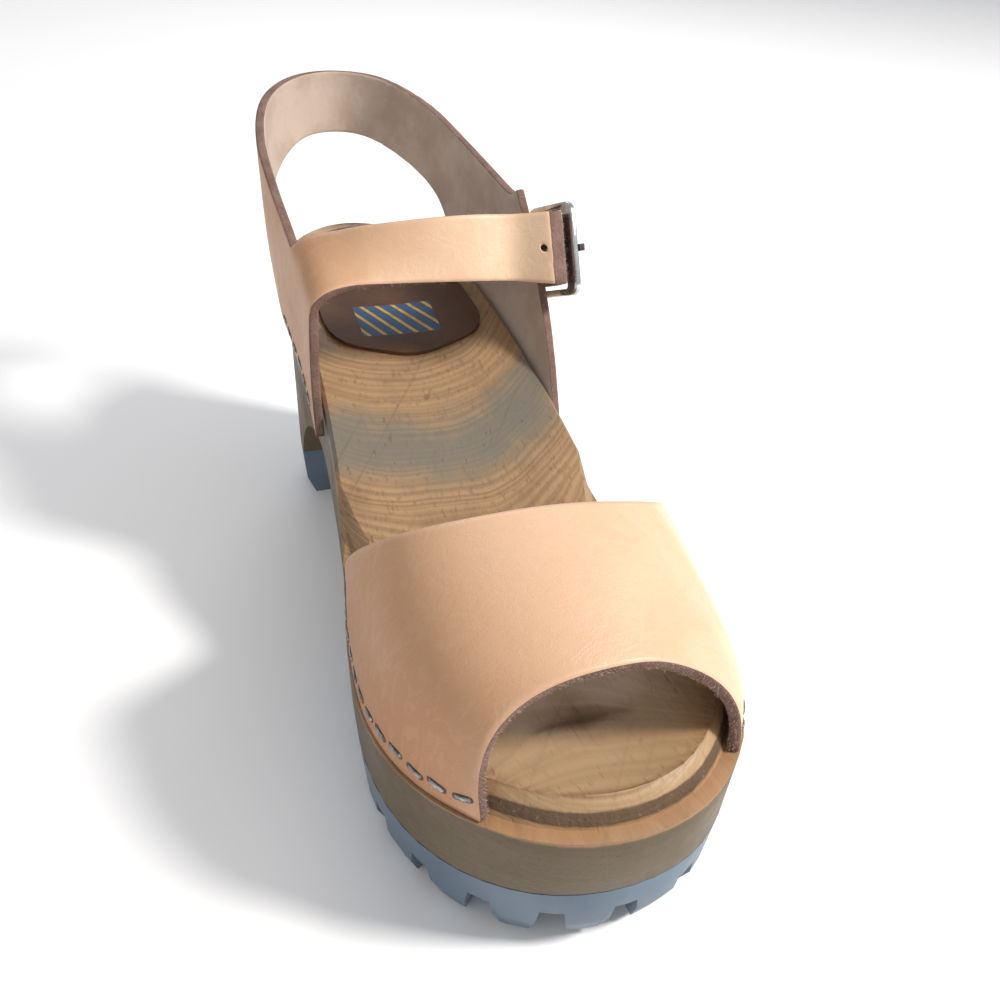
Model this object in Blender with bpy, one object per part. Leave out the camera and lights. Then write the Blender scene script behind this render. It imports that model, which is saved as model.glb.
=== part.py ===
"""Open-toe clog with an ankle strap, left shoe, standing on its sole.

Metres, +Z up. The toe points along -Y and the outer (lateral) side of the foot is +X. The floor is
z = 0 and the origin lies on it, under the middle of the shoe. Each piece that a clog maker would put
together is one closed solid: wooden sole, two rubber outsoles, heel pad, stapled vamp, the branched
ankle piece with its heel strap and instep strap, and the buckle with its prong, chape and keeper.
"""

import math
from functools import lru_cache

import bmesh
import bpy
import numpy as np
from mathutils import Matrix, Vector

MM = 0.001

# Sole, driving sizes
SOLE_LENGTH = 252 * MM
BALL_WIDTH = 95 * MM
HEEL_WIDTH = 63 * MM
SEAT_HEIGHT = 86.5 * MM
BALL_HEIGHT = 41.5 * MM
TOE_RISE = 5 * MM
TOE_SPRING = 4 * MM
DISH = 2.2 * MM
HEEL_TAPER = 1.8 * MM
TOE_TAPER = 1 * MM
WAIST_WOOD = 27 * MM

# Rabbet round the forefoot that the vamp sits in
LEDGE_WIDTH = 3.7 * MM
LEDGE_DROP = 6.2 * MM
BAND_SLANT = 1.9 * MM
RIM_CHAMFER = 2.3 * MM
EDGE_ROUND = 1 * MM

# Rubber outsoles
RUBBER = 18.5 * MM
LUG_DEPTH = 10.5 * MM
LUG_PITCH = 18 * MM
LUG_DRAFT = 4.2 * MM
NOTCH_WIDTH = 6.6 * MM
NOTCH_LENGTH = 13 * MM
NOTCH_OVERRUN = 6 * MM
GROOVE_MARGIN = 3 * MM
GROOVE_WIDTH = 5 * MM
GROOVE_DEPTH = 6 * MM

# Leather
LEATHER = 2.8 * MM
VAMP_CROWN = 84 * MM
OPENING_HEIGHT = 31.5 * MM
VAMP_TOP_LENGTH = 42 * MM
VAMP_FOOT_LENGTH = 92 * MM
OPENING_SETBACK = 14 * MM
VAMP_SKEW = 2.5 * MM
VAMP_FALL = 0.11
VAMP_LEAN = 6.5 * MM
ANKLE_RISE = 50 * MM
QUARTER_LAP = 8 * MM
STRAP_HOLE = 2.1 * MM
HOLE_PITCH = 7.5 * MM
FREE_HOLES = 3
PAD_THICKNESS = 1 * MM
PAD_INSET = 5.5 * MM
PAD_LENGTH = 79 * MM
PAD_CORNER = 11 * MM
PAD_BOW = 4 * MM

# Buckle, chape and keeper
BAR = 2.3 * MM
FRONT_BAR = 5.6 * MM
FRAME_LENGTH = 23 * MM
FRAME_HEIGHT = 28.5 * MM
FRAME_CORNER = 4 * MM
FRAME_LIFT = 1.7 * MM
PRONG = 2.2 * MM
CHAPE_LEATHER = 0.8 * MM
CHAPE_WIDTH = 14 * MM
CHAPE_LENGTH = 17 * MM
RIVET_HEAD = 6 * MM
KEEPER_WIDTH = 7 * MM
KEEPER_LEATHER = 1.2 * MM

GAP = 0.3 * MM
SIDE_STEPS = 40

# Plan outline of the sole. along: share of its length from the heel. medial, lateral: share of the
# width at that place, which goes from the heel's width to the ball's.
OUTLINE = (
    {"along": 0.020, "medial": 0.212, "lateral": 0.205},
    {"along": 0.060, "medial": 0.358, "lateral": 0.353},
    {"along": 0.120, "medial": 0.452, "lateral": 0.452},
    {"along": 0.200, "medial": 0.490, "lateral": 0.505},
    {"along": 0.300, "medial": 0.479, "lateral": 0.545},
    {"along": 0.400, "medial": 0.447, "lateral": 0.540},
    {"along": 0.500, "medial": 0.424, "lateral": 0.502},
    {"along": 0.600, "medial": 0.432, "lateral": 0.477},
    {"along": 0.700, "medial": 0.470, "lateral": 0.495},
    {"along": 0.780, "medial": 0.490, "lateral": 0.505},
    {"along": 0.860, "medial": 0.460, "lateral": 0.469},
    {"along": 0.920, "medial": 0.387, "lateral": 0.391},
    {"along": 0.960, "medial": 0.293, "lateral": 0.290},
    {"along": 0.985, "medial": 0.190, "lateral": 0.188},
)

# Side profile of the footbed's edge. heel: share of the step from ball to seat. toe: share of the
# toe's rise.
FOOTBED = (
    {"along": 0.00, "heel": 1.000, "toe": 0.00},
    {"along": 0.10, "heel": 0.985, "toe": 0.00},
    {"along": 0.19, "heel": 0.915, "toe": 0.00},
    {"along": 0.30, "heel": 0.755, "toe": 0.00},
    {"along": 0.42, "heel": 0.490, "toe": 0.00},
    {"along": 0.58, "heel": 0.135, "toe": 0.00},
    {"along": 0.66, "heel": 0.035, "toe": 0.00},
    {"along": 0.74, "heel": 0.000, "toe": 0.00},
    {"along": 0.86, "heel": 0.000, "toe": 0.35},
    {"along": 0.95, "heel": 0.000, "toe": 0.85},
    {"along": 1.00, "heel": 0.000, "toe": 1.00},
)

# Underside of the waist, from the end of the forefoot rubber up to the arch and down the heel breast.
# rise: share of the height from the rubber's top to the arch's crown.
ARCH = (
    {"along": 0.560, "rise": 0.00},
    {"along": 0.520, "rise": 0.13},
    {"along": 0.470, "rise": 0.40},
    {"along": 0.420, "rise": 0.70},
    {"along": 0.380, "rise": 0.89},
    {"along": 0.345, "rise": 1.00},
    {"along": 0.306, "rise": 0.98},
    {"along": 0.262, "rise": 0.85},
    {"along": 0.225, "rise": 0.60},
    {"along": 0.198, "rise": 0.28},
    {"along": 0.184, "rise": 0.00},
)

# Upper edge of the ankle piece, inner face, from the medial front corner round the heel to the ear.
# across: share of half the heel's width. along: share of the sole. rise: share of the ankle rise.
SLING_TOP = (
    {"across": -1.030, "along": 0.397, "rise": 0.210},
    {"across": -1.010, "along": 0.294, "rise": 0.385},
    {"across": -1.050, "along": 0.202, "rise": 0.605},
    {"across": -1.045, "along": 0.123, "rise": 0.800},
    {"across": -0.860, "along": 0.037, "rise": 0.925},
    {"across": -0.500, "along": -0.025, "rise": 0.985},
    {"across": -0.020, "along": -0.054, "rise": 1.000},
    {"across": 0.460, "along": -0.030, "rise": 0.975},
    {"across": 0.820, "along": 0.035, "rise": 0.875},
    {"across": 1.010, "along": 0.115, "rise": 0.750},
    {"across": 1.110, "along": 0.200, "rise": 0.650},
    {"across": 1.140, "along": 0.270, "rise": 0.600},
    {"across": 1.150, "along": 0.293, "rise": 0.650},
)

# Lower edge of the ankle piece, column by column with the upper edge. lap: share of the lap on the
# sole's side, where the edge follows the wood; rise and across are used where lap is 0.
SLING_FOOT = (
    {"across": -1.000, "along": 0.405, "rise": 0.00, "lap": 1.0},
    {"across": -1.000, "along": 0.325, "rise": 0.00, "lap": 1.0},
    {"across": -1.000, "along": 0.245, "rise": 0.00, "lap": 1.0},
    {"across": -1.000, "along": 0.168, "rise": 0.00, "lap": 1.0},
    {"across": -0.940, "along": 0.075, "rise": 0.33, "lap": 0.0},
    {"across": -0.520, "along": -0.018, "rise": 0.55, "lap": 0.0},
    {"across": -0.020, "along": -0.048, "rise": 0.59, "lap": 0.0},
    {"across": 0.480, "along": -0.020, "rise": 0.53, "lap": 0.0},
    {"across": 0.930, "along": 0.075, "rise": 0.28, "lap": 0.0},
    {"across": 1.000, "along": 0.165, "rise": 0.00, "lap": 1.0},
    {"across": 1.000, "along": 0.250, "rise": 0.00, "lap": 1.0},
    {"across": 1.000, "along": 0.360, "rise": 0.00, "lap": 1.0},
    {"across": 1.000, "along": 0.432, "rise": 0.00, "lap": 1.0},
)

# Instep strap over the foot, inner face, from the medial quarter to just before the buckle.
# The low columns are its front edge, the high columns its rear edge.
INSTEP = (
    {"across": -0.92, "low_along": 0.398, "low_rise": 0.270, "high_along": 0.306, "high_rise": 0.435},
    {"across": -0.72, "low_along": 0.395, "low_rise": 0.295, "high_along": 0.322, "high_rise": 0.490},
    {"across": -0.42, "low_along": 0.392, "low_rise": 0.300, "high_along": 0.345, "high_rise": 0.570},
    {"across": 0.02, "low_along": 0.391, "low_rise": 0.300, "high_along": 0.362, "high_rise": 0.630},
    {"across": 0.45, "low_along": 0.391, "low_rise": 0.285, "high_along": 0.364, "high_rise": 0.640},
    {"across": 0.88, "low_along": 0.387, "low_rise": 0.255, "high_along": 0.358, "high_rise": 0.615},
)

# Strap tail beside the quarter, in the buckle's own directions. length: share of the frame's length
# ahead of the pivot bar. stand: share of the pivot's stand-off from the quarter, inner face.
TAIL = (
    {"length": 1.15, "stand": -4.00},
    {"length": 1.00, "stand": -2.80},
    {"length": 0.86, "stand": -1.90},
    {"length": 0.72, "stand": -1.20},
    {"length": 0.60, "stand": -0.78},
    {"length": 0.41, "stand": 0.15},
    {"length": 0.19, "stand": 1.02},
    {"length": 0.00, "stand": 1.20},
    {"length": -0.21, "stand": 0.95},
    {"length": -0.45, "stand": 0.45},
    {"length": -0.78, "stand": 0.14},
    {"length": -1.12, "stand": -0.20},
    {"length": -1.53, "stand": -0.34},
)


def smooth(xs, ys, x):
    """Cubic curve through a table's points."""
    xs = np.asarray(xs, float)
    ys = np.asarray(ys, float)
    slopes = np.gradient(ys, xs)
    x = np.clip(x, xs[0], xs[-1])
    i = np.clip(np.searchsorted(xs, x) - 1, 0, len(xs) - 2)
    step = xs[i + 1] - xs[i]
    u = (x - xs[i]) / step
    rise = ys[i] * (1 + 2 * u) * (1 - u) ** 2 + ys[i + 1] * u * u * (3 - 2 * u)
    return rise + slopes[i] * step * u * (1 - u) ** 2 + slopes[i + 1] * step * u * u * (u - 1)


def through(points, count):
    """Points at even steps on a smooth curve through the given points."""
    points = np.asarray(points, float)
    knots = np.arange(len(points))
    at = np.linspace(0, len(points) - 1, count)
    return np.stack([smooth(knots, points[:, k], at) for k in range(points.shape[1])], axis=1)


def column(table, name):
    return np.array([row[name] for row in table], float)


def ease(low, high, value):
    """0 below low, 1 above high, and a soft step between."""
    share = np.clip((value - low) / (high - low), 0.0, 1.0)
    return share * share * (3 - 2 * share)


def y_at(along):
    return SOLE_LENGTH * (0.5 - along)


def along_at(y):
    return 0.5 - y / SOLE_LENGTH


def footbed(y):
    """Height of the footbed's edge."""
    along = along_at(y)
    heel = smooth(column(FOOTBED, "along"), column(FOOTBED, "heel"), along)
    toe = smooth(column(FOOTBED, "along"), column(FOOTBED, "toe"), along)
    return BALL_HEIGHT + (SEAT_HEIGHT - BALL_HEIGHT) * heel + TOE_RISE * toe


def spring(y):
    """Lift of the sole off the floor towards the toe."""
    return TOE_SPRING * np.clip((along_at(y) - 0.80) / 0.20, 0.0, 1.0) ** 2


def rabbet(y):
    """1 where the ledge runs round the forefoot, 0 from the waist to the heel."""
    return ease(0.515, 0.568, along_at(y))


def ledge(y):
    return footbed(y) - LEDGE_DROP


def edge_point(turn, side):
    """Point of the plan outline. turn goes from 0 at the heel to 1 at the toe; side -1 is medial."""
    along = 0.5 - 0.5 * math.cos(math.pi * turn)
    width = HEEL_WIDTH + (BALL_WIDTH - HEEL_WIDTH) * ease(0.25, 0.70, along)
    turns = np.arccos(1 - 2 * column(OUTLINE, "along")) / math.pi
    shares = column(OUTLINE, "medial" if side < 0 else "lateral")
    # mirrored ends keep the tips round
    knots = np.concatenate([[-turns[0]], [0], turns, [1], [2 - turns[-1]]])
    values = np.concatenate([[-shares[0]], [0], shares, [0], [-shares[-1]]])
    share = float(smooth(knots, values, turn))
    return Vector((side * share * width, y_at(along), 0))


def edge(turn, side, inset=0.0):
    """Point of the outline moved inwards, square to it."""
    step = 0.004
    ahead = edge_point(min(turn + step, 1.0), side)
    behind = edge_point(max(turn - step, 0.0), side)
    run = (ahead - behind).normalized()
    inward = Vector((run.y, -run.x, 0)) * side
    if turn <= 0:
        inward = Vector((0, -1, 0))
    if turn >= 1:
        inward = Vector((0, 1, 0))
    return edge_point(turn, side) + inward * inset


def turn_at(along):
    return math.acos(1 - 2 * along) / math.pi


@lru_cache(maxsize=None)
def width_table(side, inset):
    points = [edge(turn, side, inset) for turn in np.linspace(0, 1, 121)]
    return np.array([p.y for p in points])[::-1], np.array([p.x for p in points])[::-1]


def half_width(y, side, inset=0.0):
    """Distance of the inset outline from the middle line at a place along the sole."""
    ys, xs = width_table(side, inset)
    return float(np.interp(y, ys, xs))


def new_object(name, vertices, faces, finish):
    mesh = bpy.data.meshes.new(name)
    mesh.from_pydata([tuple(v) for v in vertices], [], faces)
    work = bmesh.new()
    work.from_mesh(mesh)
    bmesh.ops.remove_doubles(work, verts=work.verts, dist=0.00001)
    bmesh.ops.dissolve_degenerate(work, dist=0.000001, edges=work.edges)
    bmesh.ops.recalc_face_normals(work, faces=work.faces)
    work.to_mesh(mesh)
    work.free()
    thing = bpy.data.objects.new(name, mesh)
    bpy.context.collection.objects.link(thing)
    if finish is not None:
        mesh.materials.append(finish)
        mesh.shade_smooth()
        mesh.set_sharp_from_angle(angle=math.radians(35))
    return thing


def new_finish(name, colour, roughness, metallic=0.0):
    finish = bpy.data.materials.new(name)
    finish.use_nodes = True
    shader = finish.node_tree.nodes["Principled BSDF"]
    shader.inputs["Base Color"].default_value = (*colour, 1)
    shader.inputs["Roughness"].default_value = roughness
    shader.inputs["Metallic"].default_value = metallic
    return finish


def cut(thing, vertices, faces, name):
    """Boolean with a cutter that is left out of the part."""
    cutter = new_object(name, vertices, faces, None)
    cutter.hide_render = True
    cutter.display_type = "WIRE"
    change = thing.modifiers.new(name, "BOOLEAN")
    change.operation = "DIFFERENCE"
    change.solver = "EXACT"
    change.use_self = True
    change.object = cutter
    return cutter


def outline_solid(levels, turns, across, top_dish=0.0):
    """Closed solid from rings of the outline, top first, with laddered caps.

    levels: pairs of functions of y that give the inset and the height of a ring. An end of the
    outline that isn't the heel's or the toe's tip is cut off straight.
    """
    count = len(turns)
    vertices = []
    faces = []
    rings = []
    blunt_start = turns[0] > 0.001
    blunt_end = turns[-1] < 0.999

    def between(ring_start, ring_stop, height):
        row = []
        for step in range(1, across):
            point = vertices[ring_start].lerp(vertices[ring_stop], step / across)
            row.append(len(vertices))
            vertices.append(Vector((point.x, point.y, height(point.y))))
        return row

    for inset, height in levels:
        sides = []
        for side in (-1, 1):
            row = []
            for turn in turns:
                plain = edge_point(turn, side)
                point = edge(turn, side, inset(plain.y))
                row.append(len(vertices))
                vertices.append(Vector((point.x, point.y, height(point.y))))
            sides.append(row)
        stop = between(sides[0][-1], sides[1][-1], height) if blunt_end else []
        start = between(sides[0][0], sides[1][0], height) if blunt_start else []
        rings.append((sides, start, stop))
    loops = [sides[0] + stop + sides[1][::-1] + start[::-1] for sides, start, stop in rings]
    around = len(loops[0])
    for upper, lower in zip(loops[:-1], loops[1:]):
        for k in range(around):
            n = (k + 1) % around
            faces.append((upper[k], lower[k], lower[n], upper[n]))
    for ring, height, dish in ((rings[0], levels[0][1], top_dish), (rings[-1], levels[-1][1], 0.0)):
        sides, start, stop = ring
        rows = []
        for k in range(count):
            left = sides[0][k]
            right = sides[1][k]
            if k == 0 and blunt_start:
                middle = start
            elif k == count - 1 and blunt_end:
                middle = stop
            else:
                middle = between(left, right, height)
                width = (vertices[right] - vertices[left]).length
                for step, i in enumerate(middle, 1):
                    share = step / across
                    vertices[i].z -= dish * (1 - (2 * share - 1) ** 2) * min(1.0, width / HEEL_WIDTH)
            rows.append([left] + middle + [right])
        for near, far in zip(rows[:-1], rows[1:]):
            for a, b, c, d in zip(near[:-1], near[1:], far[1:], far[:-1]):
                faces.append((a, b, c, d))
    return vertices, faces


def box_faces(first):
    order = ((0, 3, 2, 1), (4, 5, 6, 7), (0, 1, 5, 4), (1, 2, 6, 5), (2, 3, 7, 6), (3, 0, 4, 7))
    return [tuple(first + k for k in face) for face in order]


def wooden_sole(finish):
    """One block of alder: dished footbed, rabbet round the forefoot, arch and heel block."""
    turns = [k / SIDE_STEPS for k in range(SIDE_STEPS + 1)]

    def taper(y):
        return TOE_TAPER + (HEEL_TAPER - TOE_TAPER) * ease(0.45, 0.20, along_at(y))

    def wall(share):
        def inset(y):
            return taper(y) * share

        def height(y):
            top = footbed(y) - LEDGE_DROP
            return top + (RUBBER + spring(y) - top) * share

        return inset, height

    levels = [
        (
            lambda y: EDGE_ROUND + (LEDGE_WIDTH + BAND_SLANT + RIM_CHAMFER - EDGE_ROUND) * rabbet(y),
            footbed,
        ),
        (
            lambda y: (LEDGE_WIDTH + BAND_SLANT) * rabbet(y),
            lambda y: footbed(y) - EDGE_ROUND - (RIM_CHAMFER - EDGE_ROUND) * rabbet(y),
        ),
        (
            lambda y: LEDGE_WIDTH * rabbet(y),
            lambda y: footbed(y) - 2 * EDGE_ROUND - (LEDGE_DROP - 2 * EDGE_ROUND) * rabbet(y),
        ),
        wall(0.0),
        wall(0.35),
        wall(0.70),
        wall(1.0),
    ]
    vertices, faces = outline_solid(levels, turns, 6, DISH)
    sole = new_object("wood_sole", vertices, faces, finish)

    # arch cutter: the waist's side profile, wider than the sole
    crown = footbed(y_at(0.345)) - WAIST_WOOD
    profile = [(y_at(row["along"]), RUBBER + (crown - RUBBER) * row["rise"]) for row in ARCH]
    curve = through(profile, 25)
    low = -RUBBER
    loop = [(curve[0][0], low)] + [tuple(p) for p in curve] + [(curve[-1][0], low)]
    reach = BALL_WIDTH
    count = len(loop)
    corners = [(-reach, y, z) for y, z in loop] + [(reach, y, z) for y, z in loop]
    sides = [(k, (k + 1) % count, count + (k + 1) % count, count + k) for k in range(count)]
    sides += [tuple(range(count))[::-1], tuple(range(count, 2 * count))]
    cut(sole, corners, sides, "arch_cutter")
    return sole


def outsole(name, start, stop, finish):
    """Rubber outsole between two shares of the length, with notches between its lugs."""
    steps = max(6, round(SIDE_STEPS * abs(turn_at(stop) - turn_at(start))) + 1)
    turns = [turn_at(start) + (turn_at(stop) - turn_at(start)) * k / steps for k in range(steps + 1)]

    def base(y):
        return TOE_TAPER + (HEEL_TAPER - TOE_TAPER) * ease(0.45, 0.20, along_at(y))

    levels = [
        (lambda y: base(y), lambda y: RUBBER + spring(y) - GAP),
        (lambda y: base(y) + LUG_DRAFT * 0.3, lambda y: LUG_DEPTH * 0.6 + spring(y)),
        (lambda y: base(y) + LUG_DRAFT, lambda y: spring(y)),
    ]
    vertices, faces = outline_solid(levels, turns, 4)
    sole = new_object(name, vertices, faces, finish)

    # notches stand square to the edge, a lug's pitch apart
    samples = []
    for side in (-1, 1):
        path = [edge(t, side, 0) for t in np.linspace(turns[0], turns[-1], 80)]
        samples += path if side < 0 else path[::-1]
    if start > 0.25:
        run = samples
    else:
        run = samples[80:] + samples[:80]
    lengths = [0.0]
    for a, b in zip(run[:-1], run[1:]):
        lengths.append(lengths[-1] + (b - a).length)
    total = lengths[-1]
    count = int(total / LUG_PITCH)
    corners = []
    sides = []
    for k in range(count):
        place = total * (k + 0.5) / count
        i = min(int(np.searchsorted(lengths, place)), len(run) - 2)
        here = run[i]
        along = (run[min(i + 3, len(run) - 1)] - run[max(i - 3, 0)]).normalized()
        inward = Vector((along.y, -along.x, 0))
        centre = Vector((0, here.y * 0.85, 0))
        if inward.dot(centre - here) < 0:
            inward = -inward
        top = LUG_DEPTH + spring(here.y)
        first = len(corners)
        # a notch is wider at the tread than at its root
        for level, half in ((-LUG_DEPTH, NOTCH_WIDTH * 0.95), (top, NOTCH_WIDTH * 0.42)):
            ends = ((-NOTCH_OVERRUN, -1), (NOTCH_LENGTH, -1), (NOTCH_LENGTH, 1), (-NOTCH_OVERRUN, 1))
            for reach, way in ends:
                spot = here + inward * reach + along * (half * way)
                corners.append((spot.x, spot.y, level))
        sides += box_faces(first)
    # cross grooves in the middle of the tread
    middle = np.arange(y_at(stop) + 1.6 * LUG_PITCH, y_at(start) - 0.5 * LUG_PITCH, LUG_PITCH)
    for y in middle:
        left = half_width(y, -1) + NOTCH_LENGTH + base(y) + GROOVE_MARGIN
        right = half_width(y, 1) - NOTCH_LENGTH - base(y) - GROOVE_MARGIN
        if right - left < 2 * GROOVE_WIDTH:
            continue
        first = len(corners)
        for level in (-LUG_DEPTH, GROOVE_DEPTH + spring(y)):
            for x, shift in ((left, -1), (right, -1), (right, 1), (left, 1)):
                corners.append((x, y + shift * GROOVE_WIDTH / 2, level))
        sides += box_faces(first)
    cut(sole, corners, sides, name + "_notches")
    return sole


def shell(vertices, faces, name, finish, thickness, offset):
    """Leather of an even thickness from one face of it."""
    thing = new_object(name, vertices, faces, finish)
    wall = thing.modifiers.new("thickness", "SOLIDIFY")
    wall.thickness = thickness
    wall.offset = offset
    wall.use_even_offset = True
    return thing


def vamp_point(turn, share):
    """Outer face of the vamp. turn: 0 at the medial foot, 1 at the lateral one. share: front to back."""
    angle = math.pi * (1 - turn)
    outer = ease(-0.3, 0.6, math.cos(angle))
    full = 2.6 - outer * (0.55 - 0.85 * share)
    lift = abs(math.sin(angle)) ** (2 / full)
    lean = math.copysign(abs(math.cos(angle)) ** (2 / full), math.cos(angle))
    front = -SOLE_LENGTH / 2 + OPENING_SETBACK + 4 * MM * lift
    foot_back = -SOLE_LENGTH / 2 + OPENING_SETBACK + VAMP_FOOT_LENGTH
    crown_back = front + VAMP_TOP_LENGTH
    back = foot_back + (crown_back - foot_back) * lift
    y = front + (back - front) * share
    left = half_width(y, -1, GAP)
    right = half_width(y, 1, GAP)
    along = (y - (-SOLE_LENGTH / 2 + OPENING_SETBACK)) / VAMP_TOP_LENGTH
    # crown line: straight slope with a little bulge
    low = footbed(-SOLE_LENGTH / 2 + OPENING_SETBACK) + OPENING_HEIGHT - LEDGE_DROP
    bulge = 1.5 * MM * math.sin(math.pi * min(max(along, 0.0), 1.0))
    crown = low + (VAMP_CROWN - low) * along + bulge
    base = ledge(y) + GAP
    skew = -VAMP_SKEW * lift * lift
    fall = 1 - VAMP_FALL * ease(-0.1, 1.0, lean) * min(max(along + 0.25, 0.0), 1.0)
    # the lateral side is drawn flat between the opening and the back edge
    skew -= VAMP_LEAN * outer * lift * lift * 6.75 * share * (1 - share) ** 2
    x = (left + right) / 2 + (right - left) / 2 * lean + skew
    return Vector((x, y, base + (crown - base) * lift * fall))


def vamp(finish):
    """Vamp of stiff leather, stapled on the ledge, with the arched toe opening in front."""
    across = 26
    along = 9
    vertices = []
    faces = []
    for i in range(across + 1):
        for j in range(along + 1):
            vertices.append(vamp_point(i / across, j / along))
    for i in range(across):
        for j in range(along):
            a = i * (along + 1) + j
            faces.append((a, a + 1, a + along + 2, a + along + 1))
    piece = shell(vertices, faces, "vamp", finish, LEATHER, -1)
    return piece


def place(across, along, rise):
    """Point from shares of the heel's half width, the sole's length and the ankle rise."""
    return Vector((across * HEEL_WIDTH / 2, y_at(along), SEAT_HEIGHT + rise * ANKLE_RISE))


def sling_foot_point(row):
    if row["lap"] < 0.5:
        return place(row["across"], row["along"], row["rise"])
    side = -1 if row["across"] < 0 else 1
    y = y_at(row["along"])
    return Vector((half_width(y, side) + side * GAP * 1.5, y, footbed(y) - QUARTER_LAP * row["lap"]))


@lru_cache(maxsize=None)
def sling_grid(columns, rows):
    """Inner face of the ankle piece without the instep strap, as columns from foot to top edge."""
    top = through([place(r["across"], r["along"], r["rise"]) for r in SLING_TOP], columns + 1)
    foot = through([sling_foot_point(r) for r in SLING_FOOT], columns + 1)
    grid = []
    for k in range(columns + 1):
        share = k / columns
        # the lateral quarter bows out towards its front edge
        bow = (0.6 + 1.8 * ease(0.70, 1.0, share)) * MM
        low = Vector(foot[k])
        high = Vector(top[k])
        out = Vector((0, 0, 0))
        if abs(low.x + high.x) > 20 * MM:
            out = Vector((low.x + high.x, 0, 0)).normalized()
        column_points = []
        for j in range(rows + 1):
            f = j / rows
            column_points.append(low.lerp(high, f) + out * bow * math.sin(math.pi * f))
        grid.append(column_points)
    return grid


@lru_cache(maxsize=None)
def buckle_frame_axes():
    """Pivot point and the directions of the buckle: forward along the strap, up across it, out."""
    grid = sling_grid(48, 6)
    seat = grid[44][4]
    back = (grid[41][4] - grid[47][4]).normalized()
    upward = Vector((0, 0.42, 0.905))
    out = upward.cross(back).normalized()
    if out.x < 0:
        out = -out
    forward = Vector((0, -0.905, 0.42))
    forward = (forward - out * forward.dot(out)).normalized()
    upward = out.cross(forward).normalized()
    if upward.z < 0:
        upward = -upward
    # the quarter is curved, so the chape rests on its highest place
    crest = 0.0
    for points in sling_grid(96, 24):
        for point in points:
            away = point - seat
            if -27 * MM < away.dot(forward) < 3 * MM and abs(away.dot(upward)) < 12 * MM:
                crest = max(crest, away.dot(out))
    return seat + out * (crest + LEATHER + stand_off()), forward, upward, out


def stand_off():
    return GAP + CHAPE_LEATHER + GAP + BAR / 2


def strap_half():
    return FRAME_HEIGHT / 2 - BAR - 1.4 * MM


def strap_grid(first, steps):
    """Inner face of the instep strap: columns from its first edge, on the quarter, to the tail's end."""
    pivot, forward, upward, out = buckle_frame_axes()
    low = [first[0]]
    high = [first[-1]]
    for row in INSTEP:
        low.append(place(row["across"], row["low_along"], row["low_rise"]))
        high.append(place(row["across"], row["high_along"], row["high_rise"]))
    for row in TAIL:
        middle = pivot + forward * (row["length"] * FRAME_LENGTH) + out * (row["stand"] * stand_off())
        low.append(middle - upward * strap_half())
        high.append(middle + upward * strap_half())
    low = through(low, steps + 1)
    high = through(high, steps + 1)
    across = len(first) - 1
    grid = []
    for k in range(1, steps + 1):
        a = Vector(low[k])
        b = Vector(high[k])
        grid.append([a.lerp(b, j / across) for j in range(across + 1)])
    return grid


def ankle_piece(finish):
    """One branched piece of leather: medial quarter, heel strap, lateral quarter and instep strap."""
    columns = 48
    rows = 6
    root = 4
    grid = sling_grid(columns, rows)
    vertices = []
    index = []
    for points in grid:
        index.append([])
        for point in points:
            index[-1].append(len(vertices))
            vertices.append(point)
    faces = []
    for k in range(columns):
        for j in range(rows):
            faces.append((index[k][j], index[k + 1][j], index[k + 1][j + 1], index[k][j + 1]))
    edge_index = [index[k][rows] for k in range(root + 1)]
    last = edge_index
    strap = strap_grid([vertices[i] for i in edge_index], 52)
    for points in strap:
        row = []
        for point in points:
            row.append(len(vertices))
            vertices.append(point)
        for j in range(root):
            faces.append((last[j], last[j + 1], row[j + 1], row[j]))
        last = row
    piece = shell(vertices, faces, "ankle_piece", finish, LEATHER, 1)

    # slot that the prong stands in, and the free holes ahead of the buckle
    axes = buckle_frame_axes()
    start, bend, tip = prong_line()
    half = PRONG / 2 + GAP
    loop = [(start[0] + PRONG, start[1] - half), (bend[0], bend[1] - half), (tip[0], tip[1] - half)]
    loop += [(tip[0], tip[1] + half), (bend[0], bend[1] + half), (0.1 * PRONG, prong_ring() + GAP)]
    corners, sides = extruded(loop, half, axes)
    line = [points[root // 2] for points in strap]
    hooked = axes[0] + axes[1] * (FRAME_LENGTH * 0.34)
    at = min(range(len(line)), key=lambda k: (line[k] - hooked).length)
    run = 0.0
    pierced = 1
    for k in range(at, 4, -1):
        step = (line[k] - line[k - 1]).length
        while pierced <= FREE_HOLES and run + step > pierced * HOLE_PITCH:
            share = (pierced * HOLE_PITCH - run) / step
            centre = line[k].lerp(line[k - 1], share)
            ahead = (line[k - 1] - line[k]).normalized()
            upward = (strap[k][root] - strap[k][0]).normalized()
            out = upward.cross(ahead).normalized()
            ring = circle(0, 0, STRAP_HOLE / 2, 0, 330, 11)
            first = len(corners)
            for level in (-LEATHER * 1.5, LEATHER * 1.5):
                for x, y in ring:
                    corners.append(centre + ahead * x + upward * y + out * level)
            for a in range(12):
                n = (a + 1) % 12
                sides.append((first + a, first + n, first + 12 + n, first + 12 + a))
            sides += [tuple(range(first + 11, first - 1, -1)), tuple(range(first + 12, first + 24))]
            pierced += 1
        run += step
    cut(piece, corners, sides, "strap_holes")
    return piece


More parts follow.
